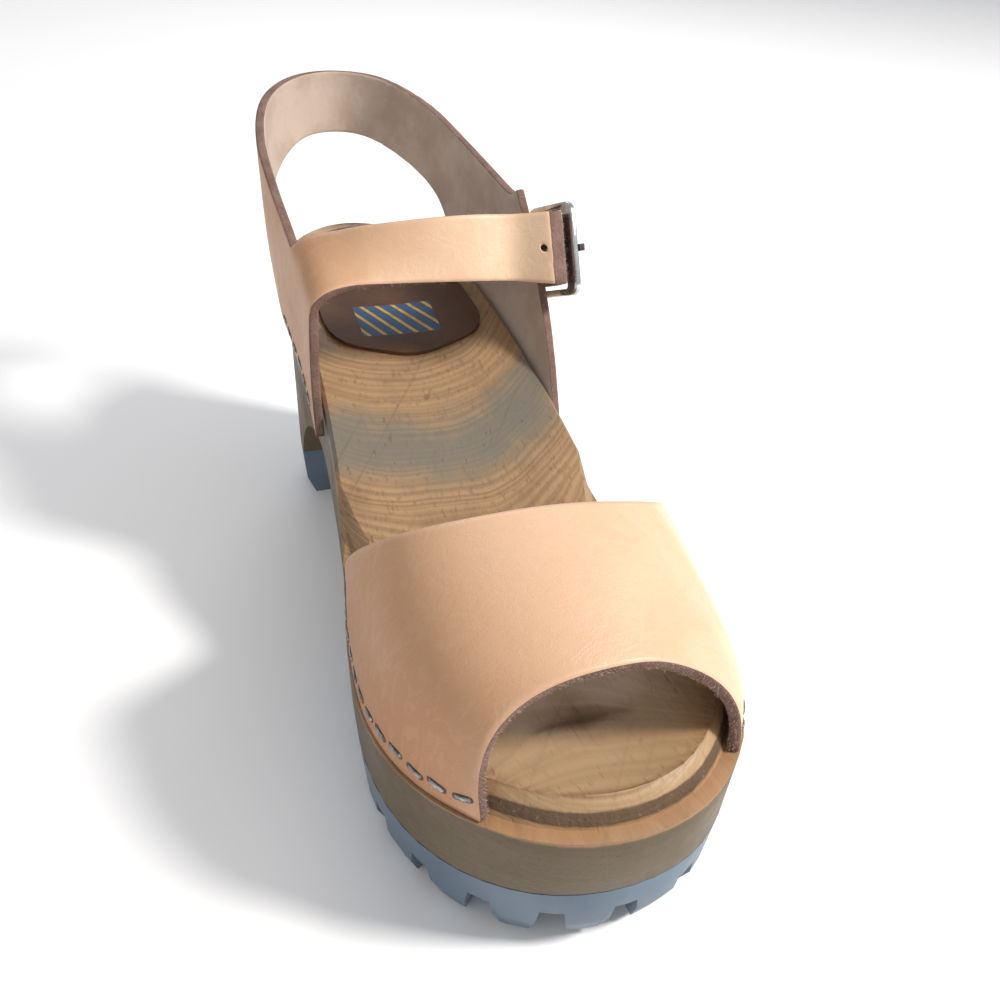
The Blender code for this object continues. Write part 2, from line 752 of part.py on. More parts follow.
def heel_pad(finish):
    """Thin leather pad on the heel seat, bowed at the front with round corners."""
    count = 20
    across = 8
    front = SOLE_LENGTH / 2 - PAD_LENGTH
    back = SOLE_LENGTH / 2 - PAD_INSET - EDGE_ROUND
    vertices = []
    faces = []
    for layer in (0, 1):
        for k in range(count + 1):
            share = 0.5 - 0.5 * math.cos(math.pi * k / count)
            y = front + (back - front) * share
            drawn = max(0.0, 1 - (y - front) / PAD_CORNER)
            pull = PAD_CORNER * (1 - math.sqrt(max(0.0, 1 - drawn * drawn)))
            low = half_width(y, -1, PAD_INSET + EDGE_ROUND) + pull
            high = half_width(y, 1, PAD_INSET + EDGE_ROUND) - pull
            for j in range(across + 1):
                f = j / across
                x = low + (high - low) * f
                here = y - PAD_BOW * (1 - share) ** 2 * math.sin(math.pi * f)
                left = half_width(here, -1, EDGE_ROUND)
                right = half_width(here, 1, EDGE_ROUND)
                u = (x - left) / max(right - left, MM)
                hollow = DISH * (1 - (2 * u - 1) ** 2) * min(1.0, (right - left) / HEEL_WIDTH)
                vertices.append((x, here, footbed(here) - hollow + 1.4 * GAP + layer * PAD_THICKNESS))
    size = (count + 1) * (across + 1)

    def spot(layer, k, j):
        return layer * size + k * (across + 1) + j

    for k in range(count):
        for j in range(across):
            for layer in (0, 1):
                near = (spot(layer, k, j), spot(layer, k + 1, j))
                far = (spot(layer, k + 1, j + 1), spot(layer, k, j + 1))
                faces.append(near + far)
        for j in (0, across):
            faces.append((spot(0, k, j), spot(0, k + 1, j), spot(1, k + 1, j), spot(1, k, j)))
    for j in range(across):
        for k in (0, count):
            faces.append((spot(0, k, j), spot(0, k, j + 1), spot(1, k, j + 1), spot(1, k, j)))
    return new_object("heel_pad", vertices, faces, finish)


def extruded(loop, half, axes):
    """Prism from a loop of (forward, out) pairs, half a width to each side along the upward axis."""
    pivot, forward, upward, out = axes
    count = len(loop)
    vertices = []
    for way in (-1, 1):
        for ahead, stand in loop:
            vertices.append(pivot + forward * ahead + out * stand + upward * (half * way))
    faces = [(k, (k + 1) % count, count + (k + 1) % count, count + k) for k in range(count)]
    faces += [tuple(range(count))[::-1], tuple(range(count, 2 * count))]
    return vertices, faces


def settle():
    """Centre the shoe's own box on the origin."""
    depsgraph = bpy.context.evaluated_depsgraph_get()
    corners = []
    for thing in bpy.data.objects:
        if thing.hide_render:
            continue
        body = thing.evaluated_get(depsgraph)
        mesh = body.to_mesh()
        places = np.array([v.co for v in mesh.vertices])
        corners += [places.min(axis=0), places.max(axis=0)]
        body.to_mesh_clear()
    low = np.min(corners, axis=0)
    high = np.max(corners, axis=0)
    shift = Vector((-(low[0] + high[0]) / 2, -(low[1] + high[1]) / 2, -low[2]))
    for thing in bpy.data.objects:
        thing.data.transform(Matrix.Translation(shift))
        thing.data.update()


def rounded(length_low, length_high, half, radius, steps):
    """Rounded rectangle in the buckle's plane, as (forward, up) pairs."""
    loop = []
    centres = (
        (length_high - radius, half - radius, 0),
        (length_low + radius, half - radius, 90),
        (length_low + radius, -half + radius, 180),
        (length_high - radius, -half + radius, 270),
    )
    for ahead, up, start in centres:
        for k in range(steps + 1):
            angle = math.radians(start + 90 * k / steps)
            loop.append((ahead + radius * math.cos(angle), up + radius * math.sin(angle)))
    return loop


def buckle_frame(finish):
    """Cast frame: a wide front bar over the strap, two side bars and the thin pivot bar behind."""
    pivot, forward, upward, out = buckle_frame_axes()
    outer = rounded(-BAR / 2, FRAME_LENGTH - BAR / 2, FRAME_HEIGHT / 2, FRAME_CORNER, 5)
    inner = rounded(BAR / 2, FRAME_LENGTH - BAR / 2 - FRONT_BAR, FRAME_HEIGHT / 2 - BAR, 1.2 * MM, 5)
    vertices = []
    faces = []
    count = len(outer)
    for level in (-1, 1):
        for loop in (outer, inner):
            for ahead, up in loop:
                lift = FRAME_LIFT * ease(0.0, FRAME_LENGTH * 0.66, ahead)
                spot = pivot + forward * ahead + upward * up + out * (lift + level * BAR / 2)
                vertices.append(spot)
    for k in range(count):
        n = (k + 1) % count
        faces.append((k, n, count + n, count + k))
        faces.append((2 * count + k, 3 * count + k, 3 * count + n, 2 * count + n))
        faces.append((k, 2 * count + k, 2 * count + n, n))
        faces.append((count + k, count + n, 3 * count + n, 3 * count + k))
    frame = new_object("buckle_frame", vertices, faces, finish)
    soft = frame.modifiers.new("edges", "BEVEL")
    soft.width = 0.5 * MM
    soft.segments = 1
    soft.limit_method = "ANGLE"
    soft.angle_limit = math.radians(50)
    return frame


def circle(ahead, stand, radius, start, stop, steps):
    points = []
    for k in range(steps + 1):
        angle = math.radians(start + (stop - start) * k / steps)
        points.append((ahead + radius * math.cos(angle), stand + radius * math.sin(angle)))
    return points


def prong_line():
    """Middle line of the prong from the pivot to its tip, as (forward, out) pairs."""
    reach = FRAME_LENGTH - BAR / 2 + 1.2 * MM
    rest = FRAME_LIFT + BAR / 2 + GAP + PRONG / 2
    return (0.0, 0.0), (FRAME_LENGTH * 0.62, rest * 0.93), (reach, rest)


def prong_ring():
    return BAR / 2 + GAP + PRONG / 3


def buckle_prong(finish):
    """Prong hooked round the pivot bar, through the strap's hole and over the front bar."""
    axes = buckle_frame_axes()
    root, bend, tip = prong_line()
    half = PRONG / 2
    ring = prong_ring()
    lean = math.degrees(math.atan2(bend[1], bend[0]))
    loop = circle(0, 0, ring, lean + 40, lean + 320, 16)
    loop += [(bend[0] + 0.2 * half, bend[1] - half), (tip[0] - half, tip[1] - half)]
    loop += [(tip[0], tip[1] - 0.3 * half), (tip[0] - half, tip[1] + 0.6 * half)]
    loop += [(bend[0] - 0.2 * half, bend[1] + half)]
    vertices, faces = extruded(loop, half, axes)
    prong = new_object("buckle_prong", vertices, faces, finish)
    hole = circle(0, 0, BAR / 2 + GAP, 0, 360 * 15 / 16, 15)
    vertices, faces = extruded(hole, PRONG, axes)
    cut(prong, vertices, faces, "prong_eye")
    return prong


def buckle_chape(finish):
    """Thin leather folded round the pivot bar and riveted on the lateral quarter."""
    axes = buckle_frame_axes()
    eye = BAR / 2 + GAP
    rim = eye + CHAPE_LEATHER
    foot = -rim
    loop = circle(0, 0, rim, -90, 90, 10)
    loop += [(-rim * 0.8, rim * 0.75), (-rim * 1.9, foot + 2 * CHAPE_LEATHER)]
    loop += [(-CHAPE_LENGTH, foot + 2 * CHAPE_LEATHER), (-CHAPE_LENGTH, foot)]
    vertices, faces = extruded(loop, CHAPE_WIDTH / 2, axes)
    chape = new_object("buckle_chape", vertices, faces, finish)
    hole = circle(0, 0, eye, 0, 360 * 15 / 16, 15)
    vertices, faces = extruded(hole, CHAPE_WIDTH, axes)
    cut(chape, vertices, faces, "chape_eye")
    # slot for the prong
    ring = prong_ring() + GAP
    slot = [(-ring * 1.2, -2 * rim), (2 * rim, -2 * rim), (2 * rim, 2 * rim), (-ring * 1.2, 2 * rim)]
    vertices, faces = extruded(slot, PRONG / 2 + GAP, axes)
    cut(chape, vertices, faces, "chape_slot")
    return chape


def chape_rivet(finish):
    """Tubular rivet head that holds the chape on the quarter."""
    pivot, forward, upward, out = buckle_frame_axes()
    eye = BAR / 2 + GAP
    base = -(eye + CHAPE_LEATHER) + 2 * CHAPE_LEATHER + GAP
    centre = pivot - forward * (CHAPE_LENGTH - RIVET_HEAD * 0.85)
    steps = 16
    vertices = []
    crown = base + 0.8 * MM
    rims = ((RIVET_HEAD / 2, base), (RIVET_HEAD / 2, base + 0.35 * MM), (RIVET_HEAD / 3, crown))
    for radius, stand in rims:
        for k in range(steps):
            angle = 2 * math.pi * k / steps
            ring = forward * (radius * math.cos(angle)) + upward * (radius * math.sin(angle))
            vertices.append(centre + ring + out * stand)
    faces = [tuple(range(steps))[::-1], tuple(range(2 * steps, 3 * steps))]
    for level in (0, 1):
        for k in range(steps):
            n = (k + 1) % steps
            low = level * steps
            high = low + steps
            faces.append((low + k, low + n, high + n, high + k))
    return new_object("chape_rivet", vertices, faces, finish)


def strap_keeper(finish):
    """Fixed leather loop behind the chape that holds the strap's tail."""
    pivot, forward, upward, out = buckle_frame_axes()
    middle = -(CHAPE_LENGTH + 1.2 * MM + KEEPER_WIDTH / 2)
    foot = -stand_off() + GAP
    lengths = column(TAIL, "length")[::-1]
    stands = column(TAIL, "stand")[::-1]
    tail = smooth(lengths, stands, middle / FRAME_LENGTH) * stand_off()
    high = float(tail) + LEATHER + 3 * GAP
    half = strap_half() + 3 * GAP
    inner = ((-half, foot + KEEPER_LEATHER), (half, foot + KEEPER_LEATHER), (half, high), (-half, high))
    wide = half + KEEPER_LEATHER
    outer = ((-wide, foot), (wide, foot), (wide, high + KEEPER_LEATHER), (-wide, high + KEEPER_LEATHER))
    vertices = []
    for way in (-1, 1):
        for loop in (outer, inner):
            for up, stand in loop:
                ahead = middle + way * KEEPER_WIDTH / 2
                vertices.append(pivot + forward * ahead + upward * up + out * stand)
    faces = []
    for k in range(4):
        n = (k + 1) % 4
        faces.append((k, n, 4 + n, 4 + k))
        faces.append((8 + k, 12 + k, 12 + n, 8 + n))
        faces.append((k, 8 + k, 8 + n, n))
        faces.append((4 + k, 4 + n, 12 + n, 12 + k))
    return new_object("strap_keeper", vertices, faces, finish)


for old in list(bpy.data.objects):
    bpy.data.objects.remove(old, do_unlink=True)

alder = new_finish("alder_wood", (0.52, 0.33, 0.17), 0.55)
blue_rubber = new_finish("blue_rubber", (0.24, 0.33, 0.47), 0.7)
tooling_leather = new_finish("tooling_leather", (0.80, 0.60, 0.42), 0.5)
brown_leather = new_finish("brown_leather", (0.10, 0.045, 0.018), 0.5)
nickel = new_finish("nickel", (0.70, 0.69, 0.66), 0.22, 1.0)

wooden_sole(alder)
outsole("outsole_forefoot", 0.562, 1.0, blue_rubber)
outsole("outsole_heel", 0.0, 0.178, blue_rubber)
vamp(tooling_leather)
ankle_piece(tooling_leather)
heel_pad(brown_leather)
buckle_frame(nickel)
buckle_prong(nickel)
buckle_chape(tooling_leather)
chape_rivet(nickel)
strap_keeper(tooling_leather)
settle()
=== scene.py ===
import math
import random

import bmesh
import bpy
import numpy as np
from mathutils import Matrix, Vector
from mathutils.bvhtree import BVHTree
from mathutils.kdtree import KDTree


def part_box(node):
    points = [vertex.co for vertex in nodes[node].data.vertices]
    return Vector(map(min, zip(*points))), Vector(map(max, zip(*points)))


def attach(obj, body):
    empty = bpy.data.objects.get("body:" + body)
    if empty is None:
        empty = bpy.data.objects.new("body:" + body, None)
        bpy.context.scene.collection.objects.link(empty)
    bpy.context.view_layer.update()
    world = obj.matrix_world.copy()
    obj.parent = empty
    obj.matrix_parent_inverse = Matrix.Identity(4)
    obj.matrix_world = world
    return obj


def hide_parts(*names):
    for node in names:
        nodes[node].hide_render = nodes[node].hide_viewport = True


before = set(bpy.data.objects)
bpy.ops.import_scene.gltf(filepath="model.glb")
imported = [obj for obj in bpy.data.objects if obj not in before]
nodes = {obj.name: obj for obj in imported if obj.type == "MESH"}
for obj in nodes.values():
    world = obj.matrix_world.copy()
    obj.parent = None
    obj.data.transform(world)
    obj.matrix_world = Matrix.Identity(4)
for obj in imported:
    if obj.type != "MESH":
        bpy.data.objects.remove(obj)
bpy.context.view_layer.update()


# The wooden sole: one block of alder, machined to a dished footbed with a step round the forefoot
# that the vamp is stapled in, an arch under the waist and a tall heel block. It is sanded and oiled;
# the step's wall is left rough from the cutter.

MM = 0.001


def put(tree, kind, inputs=None, **settings):
    """Adds a shader node. inputs holds values, or sockets to link, by socket name or number."""
    node = tree.nodes.new(kind)
    for name, value in settings.items():
        setattr(node, name, value)
    for name, value in (inputs or {}).items():
        if isinstance(value, bpy.types.NodeSocket):
            tree.links.new(value, node.inputs[name])
        else:
            node.inputs[name].default_value = value
    return node


def calc(tree, operation, a, b=0.0, c=0.0, clamp=False):
    node = put(tree, "ShaderNodeMath", {0: a, 1: b, 2: c}, operation=operation, use_clamp=clamp)
    return node.outputs[0]


def step_between(tree, value, low, high, start=0.0, end=1.0):
    node = put(
        tree,
        "ShaderNodeMapRange",
        {"Value": value, "From Min": low, "From Max": high, "To Min": start, "To Max": end},
        interpolation_type="SMOOTHSTEP",
    )
    return node.outputs["Result"]


def blend_colour(tree, share, first, second, mode="MIX"):
    node = put(tree, "ShaderNodeMix", {"Factor": share}, data_type="RGBA", blend_type=mode)
    for number, colour in ((6, first), (7, second)):
        if isinstance(colour, bpy.types.NodeSocket):
            tree.links.new(colour, node.inputs[number])
        else:
            node.inputs[number].default_value = (*colour, 1)
    return node.outputs[2]


def noise(tree, where, scale, detail=3.0, roughness=0.5, distortion=0.0):
    sockets = {"Vector": where, "Scale": scale, "Detail": detail, "Roughness": roughness}
    sockets["Distortion"] = distortion
    return put(tree, "ShaderNodeTexNoise", sockets).outputs["Fac"]


def stretched(tree, where, factors):
    return put(tree, "ShaderNodeVectorMath", {0: where, 1: factors}, operation="MULTIPLY").outputs[0]


def new_group(name, inputs, outputs):
    """Node group with named value inputs and outputs; names ending in colour are colours."""
    group = bpy.data.node_groups.new(name, "ShaderNodeTree")
    for socket, value in inputs.items():
        made = group.interface.new_socket(socket, in_out="INPUT", socket_type="NodeSocketFloat")
        made.default_value = value
    for socket in outputs:
        kind = "NodeSocketColor" if socket.endswith("colour") else "NodeSocketFloat"
        group.interface.new_socket(socket, in_out="OUTPUT", socket_type=kind)
    return group, group.nodes.new("NodeGroupInput"), group.nodes.new("NodeGroupOutput")


def place_group(tree, group, inputs=None):
    node = tree.nodes.new("ShaderNodeGroup")
    node.node_tree = group
    for name, value in (inputs or {}).items():
        node.inputs[name].default_value = value
    return node


def new_material(name, roughness, metallic=0.0):
    material = bpy.data.materials.new(name)
    material.use_nodes = True
    tree = material.node_tree
    shader = tree.nodes["Principled BSDF"]
    shader.inputs["Roughness"].default_value = roughness
    shader.inputs["Metallic"].default_value = metallic
    return material, tree, shader


def bump_into(tree, shader, height, depth, strength=1.0):
    node = put(tree, "ShaderNodeBump", {"Height": height, "Distance": depth, "Strength": strength})
    tree.links.new(node.outputs[0], shader.inputs["Normal"])


def alder_growth():
    """Growth rings round an axis above the shoe, so that they cross the bed in arcs, with fibres,
    dark mineral streaks, pores and knots."""
    axis_x = -2 * MM
    axis_z = 150 * MM
    group, given, result = new_group(
        "Alder growth", {"Ring width": 0.6 * MM}, ["Rings", "Fibre", "Streak", "Flecks", "Mottle"]
    )
    position = put(group, "ShaderNodeTexCoord").outputs["Object"]
    wobble = put(group, "ShaderNodeTexNoise", {"Vector": position, "Scale": 14.0, "Detail": 2.0})
    bent = put(
        group,
        "ShaderNodeVectorMath",
        {0: wobble.outputs["Color"], 1: (0.008, 0.008, 0.008), 2: position},
        operation="MULTIPLY_ADD",
    )
    parts = put(group, "ShaderNodeSeparateXYZ", {0: bent.outputs[0]})
    across = calc(group, "SUBTRACT", parts.outputs[0], axis_x)
    above = calc(group, "SUBTRACT", parts.outputs[2], axis_z)
    wide = calc(group, "MULTIPLY", across, across)
    tall = calc(group, "MULTIPLY", above, above)
    radius = calc(group, "SQRT", calc(group, "ADD", wide, tall))
    count = calc(group, "DIVIDE", radius, given.outputs["Ring width"])
    rings = put(
        group, "ShaderNodeTexNoise", {"W": count, "Scale": 1.0, "Detail": 3.0}, noise_dimensions="1D"
    )
    group.links.new(rings.outputs["Fac"], result.inputs["Rings"])
    fibre = noise(group, stretched(group, position, (900.0, 45.0, 900.0)), 1.0, 4.0, 0.65)
    group.links.new(fibre, result.inputs["Fibre"])
    # the grey-blue streak that bends across the waist
    waist = calc(group, "ABSOLUTE", calc(group, "SUBTRACT", radius, 90 * MM))
    edge = noise(group, position, 60.0, 3.0)
    waist = calc(group, "ADD", waist, calc(group, "MULTIPLY", edge, 9 * MM))
    streak = step_between(group, waist, 12 * MM, 5 * MM)
    group.links.new(streak, result.inputs["Streak"])
    pores = noise(group, stretched(group, position, (700.0, 130.0, 700.0)), 1.0, 2.0)
    knots = noise(group, stretched(group, position, (190.0, 120.0, 190.0)), 1.0, 1.0)
    pores = step_between(group, pores, 0.66, 0.76)
    knots = step_between(group, knots, 0.74, 0.80)
    group.links.new(calc(group, "MAXIMUM", pores, knots), result.inputs["Flecks"])
    group.links.new(noise(group, position, 45.0, 4.0, 0.6), result.inputs["Mottle"])
    return group


ALDER_GROWTH = alder_growth()


def raw_fibres():
    """Torn fibres of a cut or sawn face: short, crossed and uneven."""
    group, given, result = new_group("Raw fibres", {"Fineness": 900.0}, ["Height", "Specks"])
    position = put(group, "ShaderNodeTexCoord").outputs["Object"]
    fine = put(group, "ShaderNodeTexNoise", {"Vector": position, "Detail": 5.0, "Roughness": 0.75})
    group.links.new(given.outputs["Fineness"], fine.inputs["Scale"])
    cells = put(group, "ShaderNodeTexVoronoi", {"Vector": position, "Randomness": 1.0})
    group.links.new(given.outputs["Fineness"], cells.inputs["Scale"])
    height = calc(group, "ADD", fine.outputs["Fac"], calc(group, "MULTIPLY", cells.outputs[0], 0.5))
    group.links.new(height, result.inputs["Height"])
    specks = step_between(group, fine.outputs["Fac"], 0.60, 0.72)
    group.links.new(specks, result.inputs["Specks"])
    return group


RAW_FIBRES = raw_fibres()

alder, tree, shader = new_material("alder_wood_oiled", 0.5)
growth = place_group(tree, ALDER_GROWTH)
rough_cut = place_group(tree, RAW_FIBRES, {"Fineness": 700.0})
drop = put(tree, "ShaderNodeAttribute", attribute_name="drop").outputs["Fac"]
stepped = put(tree, "ShaderNodeAttribute", attribute_name="stepped").outputs["Fac"]
tan = (0.232, 0.130, 0.058)
pale = (0.310, 0.188, 0.089)
dark = (0.105, 0.055, 0.024)
wood = blend_colour(tree, step_between(tree, growth.outputs["Rings"], 0.34, 0.66), tan, pale)
wood = blend_colour(tree, step_between(tree, growth.outputs["Mottle"], 0.44, 0.70, 0.0, 0.34), wood, dark)
wood = blend_colour(tree, step_between(tree, growth.outputs["Fibre"], 0.52, 0.70, 0.0, 0.5), wood, dark)
streak = calc(tree, "MULTIPLY", growth.outputs["Streak"], 0.8)
wood = blend_colour(tree, streak, wood, (0.105, 0.108, 0.090))
flecks = calc(tree, "MULTIPLY", growth.outputs["Flecks"], 0.55)
wood = blend_colour(tree, flecks, wood, (0.09, 0.05, 0.025))
# fine diagonal scratches that sanding left
position = put(tree, "ShaderNodeTexCoord").outputs["Object"]
turned = put(
    tree, "ShaderNodeVectorRotate", {"Vector": position, "Angle": math.radians(38)}, rotation_type="Z_AXIS"
)
lines = noise(tree, stretched(tree, turned.outputs[0], (620.0, 14.0, 60.0)), 1.0, 2.0)
scratches = step_between(tree, lines, 0.64, 0.72, 0.0, 0.3)
wood = blend_colour(tree, scratches, wood, dark)
# side walls are darker and greener than the bed; the rim is cut pale, its wall dark and rough
side = step_between(tree, drop, 6.3 * MM, 7.5 * MM)
wood = blend_colour(tree, calc(tree, "MULTIPLY", side, 0.8), wood, (0.062, 0.048, 0.021))
rim = calc(tree, "MULTIPLY", step_between(tree, drop, 0.2 * MM, 1.0 * MM), stepped)
rim = calc(tree, "MULTIPLY", rim, step_between(tree, drop, 2.5 * MM, 2.2 * MM))
wood = blend_colour(tree, calc(tree, "MULTIPLY", rim, 0.45), wood, (0.42, 0.28, 0.145))
band = calc(tree, "MULTIPLY", step_between(tree, drop, 2.4 * MM, 2.8 * MM), stepped)
band = calc(tree, "MULTIPLY", band, step_between(tree, drop, 5.6 * MM, 5.0 * MM))
wood = blend_colour(tree, calc(tree, "MULTIPLY", band, 0.8), wood, (0.060, 0.038, 0.022))
specked = calc(tree, "MULTIPLY", calc(tree, "MULTIPLY", rough_cut.outputs["Specks"], band), 0.6)
wood = blend_colour(tree, specked, wood, (0.42, 0.30, 0.20))
seat = calc(tree, "MULTIPLY", step_between(tree, drop, 5.5 * MM, 6.1 * MM), stepped)
seat = calc(tree, "MULTIPLY", seat, step_between(tree, drop, 7.0 * MM, 6.3 * MM))
wood = blend_colour(tree, calc(tree, "MULTIPLY", seat, 0.7), wood, (0.33, 0.175, 0.080))
tree.links.new(wood, shader.inputs["Base Color"])
gloss = step_between(tree, growth.outputs["Mottle"], 0.3, 0.7, 0.42, 0.60)
gloss = calc(tree, "ADD", gloss, calc(tree, "MULTIPLY", band, 0.4))
tree.links.new(gloss, shader.inputs["Roughness"])
relief = calc(tree, "ADD", growth.outputs["Fibre"], calc(tree, "MULTIPLY", growth.outputs["Rings"], 0.5))
relief = calc(tree, "SUBTRACT", relief, calc(tree, "MULTIPLY", growth.outputs["Flecks"], 0.8))
torn = calc(tree, "MULTIPLY", rough_cut.outputs["Height"], calc(tree, "MULTIPLY", band, 2.5))
bump_into(tree, shader, calc(tree, "ADD", relief, torn), 0.16 * MM, 0.7)


def piece_from(node_name, name, finish):
    """The node's own form as a new piece: faces joined up again, ready to be finished."""
    work = bmesh.new()
    work.from_mesh(nodes[node_name].data)
    bmesh.ops.remove_doubles(work, verts=work.verts, dist=0.005 * MM)
    bmesh.ops.join_triangles(
        work, faces=work.faces, angle_face_threshold=math.radians(12), angle_shape_threshold=math.radians(40)
    )
    mesh = bpy.data.meshes.new(name)
    for face in work.faces:
        face.smooth = True
    work.to_mesh(mesh)
    work.free()
    thing = bpy.data.objects.new(name, mesh)
    bpy.context.collection.objects.link(thing)
    mesh.materials.append(finish)
    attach(thing, "root")
    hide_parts(node_name)
    return thing


def round_edges(thing, width, angle=35.0, segments=2):
    soft = thing.modifiers.new("round edges", "BEVEL")
    soft.width = width
    soft.segments = segments
    soft.limit_method = "ANGLE"
    soft.angle_limit = math.radians(angle)
    soft.harden_normals = True
    thing.data.set_sharp_from_angle(angle=math.radians(angle))


def keep_value(thing, name, values):
    layer = thing.data.attributes.new(name, "FLOAT", "POINT")
    layer.data.foreach_set("value", np.asarray(values, np.float32))


sole = piece_from("wood_sole", "clog_sole", alder)
places = np.array([v.co for v in sole.data.vertices])
step_width = 9 * MM
slice_width = 4 * MM
bed_front = places[:, 1].min() + step_width
bins = np.arange(bed_front, places[:, 1].max(), slice_width)
crest = []
for start in bins:
    near = np.abs(places[:, 1] - start) < slice_width + 1 * MM
    crest.append(places[near, 2].max())
depth = np.interp(places[:, 1], bins, crest) - places[:, 2]
keep_value(sole, "drop", depth)
waist_start = -42 * MM
waist_end = -28 * MM
keep_value(sole, "stepped", np.clip((waist_end - places[:, 1]) / (waist_end - waist_start), 0, 1))
round_edges(sole, 0.5 * MM)


# The outsoles: light steel-blue rubber moulded with deep lugs, one piece under the forefoot and one
# under the heel, glued to the wood. The moulded skin is slightly glossy and picks up dust.

rubber, tree, shader = new_material("blue_rubber_moulded", 0.5)
position = put(tree, "ShaderNodeTexCoord").outputs["Object"]
cloud = noise(tree, position, 35.0, 4.0, 0.6)
grit = noise(tree, position, 1400.0, 2.0)
skin = blend_colour(tree, step_between(tree, cloud, 0.35, 0.7), (0.082, 0.120, 0.168), (0.122, 0.168, 0.222))
height = put(tree, "ShaderNodeSeparateXYZ", {0: position}).outputs[2]
dusty = step_between(tree, height, 7 * MM, 0.0, 0.0, 0.35)
dusty = calc(tree, "MULTIPLY", dusty, step_between(tree, cloud, 0.4, 0.6))
skin = blend_colour(tree, dusty, skin, (0.20, 0.21, 0.22))
tree.links.new(skin, shader.inputs["Base Color"])
tree.links.new(step_between(tree, cloud, 0.3, 0.7, 0.36, 0.52), shader.inputs["Roughness"])
bump_into(tree, shader, grit, 0.05 * MM, 0.5)
for node_name in ("outsole_forefoot", "outsole_heel"):
    tread = piece_from(node_name, node_name + "_rubber", rubber)
    round_edges(tread, 0.7 * MM, 30.0, 3)


# The vamp: one piece of natural vegetable-tanned leather, about 3 mm thick, moulded wet over a last
# and stapled into the sole's step. Its edges are left as cut, and the flesh side shows as nap.

def hide_grain():
    """Grain side of natural leather: pores, fine creases and soft clouds of tan."""
    outputs = ["Height", "Clouds", "Creases"]
    group, given, result = new_group("Hide grain", {"Pore size": 0.55 * MM}, outputs)
    position = put(group, "ShaderNodeTexCoord").outputs["Object"]
    fineness = calc(group, "DIVIDE", 1.0, given.outputs["Pore size"])
    cells = put(group, "ShaderNodeTexVoronoi", {"Vector": position}, feature="DISTANCE_TO_EDGE")
    group.links.new(fineness, cells.inputs["Scale"])
    plates = step_between(group, cells.outputs["Distance"], 0.0, 0.25)
    creases = noise(group, stretched(group, position, (160.0, 300.0, 160.0)), 1.0, 5.0, 0.6, 1.2)
    creases = step_between(group, creases, 0.40, 0.60)
    height = calc(group, "ADD", calc(group, "MULTIPLY", plates, 0.45), creases)
    group.links.new(height, result.inputs["Height"])
    group.links.new(creases, result.inputs["Creases"])
    group.links.new(noise(group, position, 24.0, 5.0, 0.6, 0.6), result.inputs["Clouds"])
    return group


HIDE_GRAIN = hide_grain()


def natural_leather():
    material, tree, shader = new_material("tooling_leather_grain", 0.46)
    hide = place_group(tree, HIDE_GRAIN)
    rim = put(tree, "ShaderNodeAttribute", attribute_name="rim").outputs["Fac"]
    tan = put(tree, "ShaderNodeAttribute", attribute_name="tan").outputs["Fac"]
    cream = (0.640, 0.455, 0.305)
    peach = (0.520, 0.310, 0.170)
    clouds = hide.outputs["Clouds"]
    colour = blend_colour(tree, step_between(tree, clouds, 0.36, 0.68, 0.0, 0.5), cream, peach)
    # painted shade: the tan attribute makes the leather darker and more orange towards the medial side and
    # the bottom, the side turned away from the key lamp
    colour = blend_colour(tree, tan, colour, (0.420, 0.195, 0.080))
    # painted shade: the hollows of the grain's creases are coloured darker and more orange
    crease_shade = step_between(tree, hide.outputs["Creases"], 0.25, 0.0, 0.0, 0.2)
    colour = blend_colour(tree, crease_shade, colour, (0.55, 0.33, 0.20))
    edge = step_between(tree, rim, 2.2 * MM, 0.2 * MM, 0.0, 0.35)
    colour = blend_colour(tree, edge, colour, (0.62, 0.38, 0.26))
    tree.links.new(colour, shader.inputs["Base Color"])
    tree.links.new(step_between(tree, clouds, 0.3, 0.7, 0.40, 0.55), shader.inputs["Roughness"])
    shader.inputs["Coat Weight"].default_value = 0.08
    shader.inputs["Coat Roughness"].default_value = 0.35
    shader.inputs["Subsurface Weight"].default_value = 0.05
    shader.inputs["Subsurface Scale"].default_value = 1.5 * MM
    bump_into(tree, shader, hide.outputs["Height"], 0.09 * MM, 0.45)
    return material


def flesh_side():
    material, tree, shader = new_material("tooling_leather_flesh", 0.9)
    fibres = place_group(tree, RAW_FIBRES, {"Fineness": 420.0})
    position = put(tree, "ShaderNodeTexCoord").outputs["Object"]
    soft = noise(tree, position, 60.0, 4.0, 0.6)
    clouds = step_between(tree, soft, 0.35, 0.65)
    colour = blend_colour(tree, clouds, (0.380, 0.280, 0.215), (0.460, 0.365, 0.295))
    specks = calc(tree, "MULTIPLY", fibres.outputs["Specks"], 0.3)
    colour = blend_colour(tree, specks, colour, (0.60, 0.51, 0.44))
    tree.links.new(colour, shader.inputs["Base Color"])
    shader.inputs["Sheen Weight"].default_value = 0.25
    bump_into(tree, shader, fibres.outputs["Height"], 0.18 * MM, 0.6)
    return material


def cut_edge():
    material, tree, shader = new_material("tooling_leather_cut_edge", 0.88)
    fibres = place_group(tree, RAW_FIBRES, {"Fineness": 1500.0})
    position = put(tree, "ShaderNodeTexCoord").outputs["Object"]
    soft = noise(tree, position, 140.0, 3.0, 0.6)
    clouds = step_between(tree, soft, 0.35, 0.65)
    colour = blend_colour(tree, clouds, (0.135, 0.074, 0.056), (0.190, 0.112, 0.088))
    specks = calc(tree, "MULTIPLY", fibres.outputs["Specks"], 0.7)
    colour = blend_colour(tree, specks, colour, (0.58, 0.45, 0.39))
    tree.links.new(colour, shader.inputs["Base Color"])
    bump_into(tree, shader, fibres.outputs["Height"], 0.3 * MM, 0.9)
    return material


GRAIN = natural_leather()
FLESH = flesh_side()
CUT = cut_edge()


